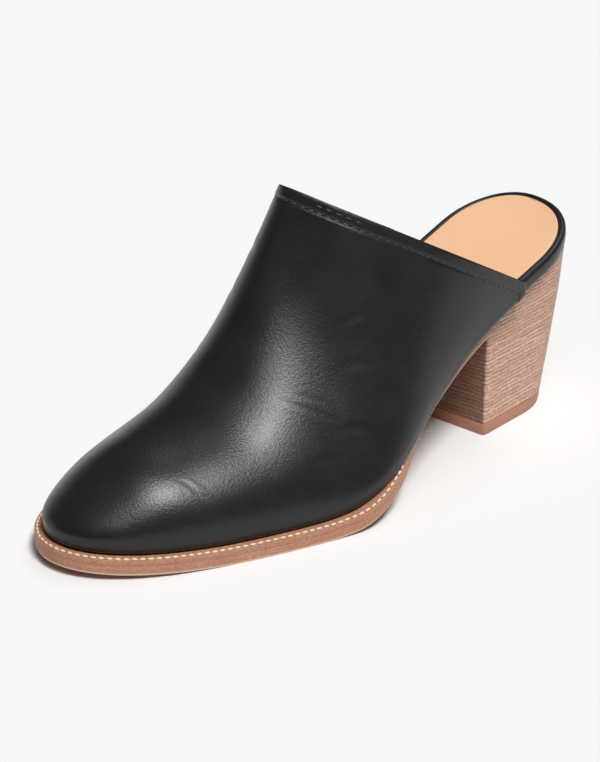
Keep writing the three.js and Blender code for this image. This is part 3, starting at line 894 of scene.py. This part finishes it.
def sewVamp(face, normal, away, material):
    # one row all round, a short one on the lap and the arch side, and one on the lining
    spec = stitching["topline"]
    template = oneStitch(spec)
    copies = sewRow(template, spec, *rowAt(face, normal, away, vamp["seam"]))
    for part in (onLap, onArchEdge):
        copies += sewRow(template, spec, *rowAt(face, normal, away, vamp["lapSeam"], part))
    line, ups = rowAt(face, normal, away, vamp["seam"])
    copies += sewRow(template, spec, line - ups * (shoe["wall"] - spec["sink"]), -ups)
    joinCopies(copies, template, "vampStitches", material)


# gusset: how far it goes under the vamp in front and above, and how deep it lies there
gore = {"places": 40, "steps": 9, "infront": 1.5, "above": 2.5, "deep": 0.6, "thick": 1.2,
        "low": 0.1, "least": 0.4}


def makeGore(lattice, material):
    side = lattice[:, lattice.shape[1] // 2 + 1:]
    steps = gore["steps"]
    rows = []
    for at in np.linspace(vamp["goreRear"], vamp["goreFront"] + gore["infront"], gore["places"]):
        column = side[int(np.argmin(np.abs(side[:, -1, 1] - at))), ::-1]
        free = vamp["archHigh"] - shoe["gap"] + vamp["goreRise"] * (at - vamp["toplineAt"])
        top = max(min(free, archLine(at) + gore["above"]), column[0, 2] + gore["least"])
        heights = np.linspace(column[0, 2] + gore["low"], top, steps)
        x = np.interp(heights, column[:, 2], column[:, 0]) + shoe["wall"] * gore["deep"]
        rows.append(np.stack([x, np.full(steps, at), heights], 1))
    obj = gridPiece("gusset", toFrame(np.array(rows)))
    useModifier(obj, "SOLIDIFY", thickness=gore["thick"] * mm, offset=1)
    finishPiece(obj, material, ["gore"], angle=40)
    print("gusset", len(obj.data.polygons), "faces")


# footbed and sock
def sideRuns(places, base, outline, rings):
    # a plate's outer and inner side: for each ring, a line of points "grow" outside the
    # outline and high(at) above the base
    runs = ([], [])
    for grow, high in rings:
        for run, edge in zip(runs, outlineRing(places, raised(outline, grow))):
            run.append(np.column_stack([edge, base(edge[:, 1]) + high(edge[:, 1])]))
    return runs


def plateLoops(places, base, outline, rings, across):
    # a closed loop round the plate at each place: up one side, over, down the other, back
    up, down = sideRuns(places, base, outline, rings)
    down = down[::-1]
    t = np.linspace(0, 1, across + 2)[1:-1]
    over = [up[-1] + (down[0] - up[-1]) * k for k in t]
    below = [down[-1] + (up[0] - down[-1]) * k for k in t]
    return np.stack([*up, *over, *down, *below, up[0]], 1)


footbed = {"edge": 0.9, "bulge": 0.12, "bulgeHigh": 0.42, "lip": 0.35, "lipDeep": 0.3,
           "edgeSteps": 5, "rimSteps": 8, "rimFrom": 0.1, "across": 6, "stations": 150}


def makeFootbed(material):
    # (outwards, up) round the wrap: the lower edge, the bulging side, the round rim, the well
    r, edge, inset = shoe["rimRound"], footbed["edge"], shoe["sockInset"] - shoe["gap"]
    rings = [(-edge * (1 - math.sin(a)), level(edge * (1 - math.cos(a))))
             for a in np.linspace(0, math.pi / 2, footbed["edgeSteps"])]
    rings.append((footbed["bulge"], lambda at: bedThick(at) * footbed["bulgeHigh"]))
    rings += [(-r * (1 - math.cos(a)), raised(bedThick, -r * (1 - math.sin(a))))
              for a in np.linspace(footbed["rimFrom"], math.pi / 2, footbed["rimSteps"])]
    rings.append((-inset + footbed["lip"], bedThick))
    rings += [(-inset, raised(bedThick, -deep)) for deep in (footbed["lipDeep"], shoe["sockRecess"])]
    places = stations(0, bedLength, footbed["stations"], True)
    loops = plateLoops(places, lowerEdge, level(0), rings, footbed["across"])
    obj = gridPiece("footbedWrap", toFrame(loops))
    finishPiece(obj, material, ["footbed"], angle=50)
    print("footbed", len(obj.data.polygons), "faces")


sock = {"thick": 1.2, "edge": 0.45, "dish": 0.35, "toeDish": 0.4, "dishTo": (60, 110),
        "edgeFrom": 0.4, "edgeSteps": 4, "across": 28, "stations": 120}


def sockUnderside(at):
    return lowerEdge(at) + bedThick(at) - shoe["sockRecess"] + shoe["gap"]


def makeSock(material):
    grow, edge, thick = -shoe["sockInset"], sock["edge"], sock["thick"]
    rings = [(grow, level(0)), (grow, level(thick - edge))]
    rings += [(grow - edge * (1 - math.cos(a)), level(thick - edge * (1 - math.sin(a))))
              for a in np.linspace(sock["edgeFrom"], math.pi / 2, sock["edgeSteps"])]
    places = stations(0, bedLength, sock["stations"], True)
    loops = plateLoops(places, sockUnderside, level(0), rings, sock["across"])
    first, count = len(rings), sock["across"]
    t = np.linspace(0, 1, count + 2)[1:-1]
    heel = 1 - smoothstep(loops[:, first:first + count, 1], *sock["dishTo"])
    share = sock["toeDish"] + (1 - sock["toeDish"]) * heel
    loops[:, first:first + count, 2] -= sock["dish"] * np.sin(np.pi * t) * share
    obj = gridPiece("sockLeather", toFrame(loops))
    finishPiece(obj, material, ["sock"], angle=50)
    print("sock", len(obj.data.polygons), "faces")


# sole and welt
sole = {"corner": 0.8, "from": 40, "stations": 220, "across": 8, "lip": 0.3, "channel": 0.3,
        "glue": 0.12, "weltIn": 9}


def cutAtBreast(obj):
    # trims a piece on the plane of the heel's breast and closes the cut
    turn = math.radians(shoe["heelTurn"])
    reach = shoe["breast"] + shoe["gap"]
    point = toFrame([reach * math.sin(turn), reach * math.cos(turn), 0])
    edit(obj)
    bpy.ops.mesh.select_all(action="SELECT")
    bpy.ops.mesh.bisect(plane_co=tuple(point), plane_no=(-math.sin(turn), math.cos(turn), 0),
                        use_fill=True, clear_outer=True)
    bpy.ops.mesh.select_all(action="SELECT")
    bpy.ops.mesh.normals_make_consistent(inside=False)
    bpy.ops.object.mode_set(mode="OBJECT")


def makeOutsole(material):
    # (outwards, up) from the trimmed lower corner to the top
    c, thick = sole["corner"], shoe["soleThick"]
    profile = [(-c * 0.45, 0), (-c * 0.3, c * 0.2), (0, c), (0, thick), (-0.04, thick + 0.1)]
    places = stations(sole["from"], bedLength, sole["stations"])
    rings = [(grow, level(high)) for grow, high in profile]
    loops = plateLoops(places, under, soleGrow, rings, sole["across"])
    obj = gridPiece("outsoleLeather", toFrame(loops), cap=True)
    cutAtBreast(obj)
    finishPiece(obj, material, ["outsole"], angle=35)
    print("outsole", len(obj.data.polygons), "faces")


def makeWelt(material):
    # (outwards, up) round the strip: its edge, the lip, the channel for the stitches, the rest
    low = shoe["soleThick"] + sole["glue"]
    top = soleStack - shoe["gap"]
    lip, channel, weltIn = sole["lip"], sole["channel"], sole["weltIn"]
    profile = [(-weltIn, low), (-0.04, low), (0, low + 0.06), (0, top - 0.3), (-0.08, top - 0.08),
               (-0.2, top), (-lip, top), (-lip - 0.35, top - channel),
               (-lip - 1.1, top - channel), (-lip - 1.35, top - 0.1), (-3.2, top - 0.12),
               (-weltIn, top - 0.1), (-weltIn, low)]
    places = stations(sole["from"], bedLength, sole["stations"])
    rings = [(grow, level(high)) for grow, high in profile]
    outerRun, innerRun = sideRuns(places, under, soleGrow, rings)
    loops = np.concatenate([np.stack(outerRun, 1), np.stack(innerRun, 1)[-2::-1]])
    obj = gridPiece("weltStrip", toFrame(loops), cap=True)
    cutAtBreast(obj)
    finishPiece(obj, material, ["welt"], angle=35)
    print("welt", len(obj.data.polygons), "faces")


def sewWelt(material):
    spec = stitching["welt"]
    places = stations(spec["from"], bedLength, spec["stations"])
    outer, inner = outlineRing(places, raised(soleGrow, -spec["in"]))
    plan = np.vstack([outer, inner[-2::-1]])
    line = np.column_stack([plan, under(plan[:, 1]) + soleStack - shoe["gap"] - spec["low"]])
    ups = np.tile([0.0, 0.0, 1.0], (len(line), 1))
    template = oneStitch(spec)
    copies = sewRow(template, spec, line, ups)
    joinCopies(copies, template, "weltStitches", material)


# heel
heelShape = [  # half-breadth and place of the heel's back, going up
    {"up": 0, "half": 24.7, "back": 13.4},
    {"up": 6, "half": 24.7, "back": 12},
    {"up": 28, "half": 25, "back": 6.8},
    {"up": 50, "half": 25.6, "back": 2.7},
    {"up": 70, "half": 26.6, "back": 1},
]
heel = {"toplift": 5.1, "glue": 0.12, "layer": 1.65, "groove": 0.07, "bevel": 0.2, "proud": 0.03,
        "round": 26, "steps": 26, "corner": 1.5, "cornerSteps": 4, "top": 76,
        "sideShares": (0.34, 0.67), "breastShares": (0.7, 0.35)}
seat = {"from": -15, "to": 90, "wide": 60, "high": 120, "steps": 60}
toplift = ((0.5, 0), (0.15, 0.15), (0, 0.5), (0, 4.75), (0.15, 4.98), (0.4, 5.1))  # inset, up


def heelRing(up, inset=0.0):
    # the heel's outline at one height: from the back along one side, the breast and back again
    half = float(curve(heelShape, "up", "half")(up)) - inset
    back = float(curve(heelShape, "up", "back")(up)) + inset
    steps, front, corner = heel["steps"], shoe["breast"] - inset, heel["corner"]
    side = []
    for k in range(steps + 1):
        start = heel["round"] * (1 - math.cos(math.pi / 2 * k / steps))
        side.append((half * float(roundEnd(start, heel["round"], shoe["heelPower"])),
                     back + start))
    for share in heel["sideShares"]:
        side.append((half, back + heel["round"] + (front - corner - back - heel["round"])
                     * share))
    side += [(half - corner * (1 - math.cos(a)), front - corner * (1 - math.sin(a)))
             for a in np.linspace(0, math.pi / 2, heel["cornerSteps"])]
    side += [(half * share, front) for share in heel["breastShares"]]
    mirrored = [(-x, y) for x, y in side[1:]][::-1]
    ring = np.array(side + [(0, front)] + mirrored + side[:1])
    turn = math.radians(shoe["heelTurn"])
    x = ring[:, 0] * math.cos(turn) + ring[:, 1] * math.sin(turn)
    at = -ring[:, 0] * math.sin(turn) + ring[:, 1] * math.cos(turn)
    return np.stack([x, at, np.full(len(x), float(up))], 1)


def seatCutter():
    # everything above the underside of the footbed
    steps, wide = seat["steps"], seat["wide"]
    places = np.linspace(seat["from"], seat["to"], steps)
    z, top = lowerEdge(places) - shoe["gap"], np.full(steps, float(seat["high"]))
    corners = ((-wide, z), (wide, z), (wide, top), (-wide, top), (-wide, z))
    loops = np.stack([np.stack([np.full(steps, x), places, up], 1) for x, up in corners], 1)
    return gridPiece("seatCutter", toFrame(loops), cap=True)


def makeHeel(material):
    random.seed(7)
    layer, groove, bevel = heel["layer"], heel["groove"], heel["bevel"]
    up = heel["toplift"] + heel["glue"]
    rings = [heelRing(up, groove)]
    while up < heel["top"]:
        proud = random.uniform(-heel["proud"], heel["proud"])
        rings.append(heelRing(up + bevel, proud * 0.5))
        rings.append(heelRing(up + layer * 0.5, proud))
        rings.append(heelRing(up + layer - bevel, proud * 0.5))
        rings.append(heelRing(up + layer, groove))
        up += layer
    obj = gridPiece("heelStack", toFrame(np.array(rings)), cap=True)
    cutter = seatCutter()
    useModifier(obj, "BOOLEAN", operation="DIFFERENCE", object=cutter, solver="EXACT")
    bpy.data.objects.remove(cutter)
    finishPiece(obj, material, ["heel_block"], angle=35)
    print("heel", len(obj.data.polygons), "faces")


def makeToplift(material):
    rings = [heelRing(up, inset) for inset, up in toplift]
    obj = gridPiece("topliftPlate", toFrame(np.array(rings)), cap=True)
    finishPiece(obj, material, ["toplift"], angle=35)
    print("toplift", len(obj.data.polygons), "faces")


# all of it
makeStudio()
random.seed(3)
calf = blackCalf()
sheep = tanLeather("tanSheepskin", "#efc19b", "#e7b78f", 0.55)
skin = tanLeather("liningSheepskin", "#d9b08c", "#cda27d", 0.65)
# the last colour is the sole's pale lower corner: raw leather and painted bounce light
soleEdge = cutSoleLeather("stainedSoleEdge", "#cf9b7d", "#92604a", "#aa7058", "#e6c7b0")
weltEdge = cutSoleLeather("stainedWeltEdge", "#cf9b7d", "#92604a", "#aa7058")
rubber = cutSoleLeather("topliftCut", "#bd8a74", "#a26d57", "#ac7761")
lifts = stackedLeather(heel["layer"], heel["toplift"] + heel["glue"])
elastic = ribbedElastic()
blackThread = waxedThread("blackThread", ("#161515", "#484645"), 0.38)
creamThread = waxedThread("creamThread", ("#d9c3a2", "#f3e4c8"), 0.6)

lattice, face, normal, away = makeVamp(calf, skin)
sewVamp(face, normal, away, blackThread)
makeGore(lattice, elastic)
makeFootbed(calf)
makeSock(sheep)
makeOutsole(soleEdge)
makeWelt(weltEdge)
sewWelt(creamThread)
makeHeel(lifts)
makeToplift(rubber)
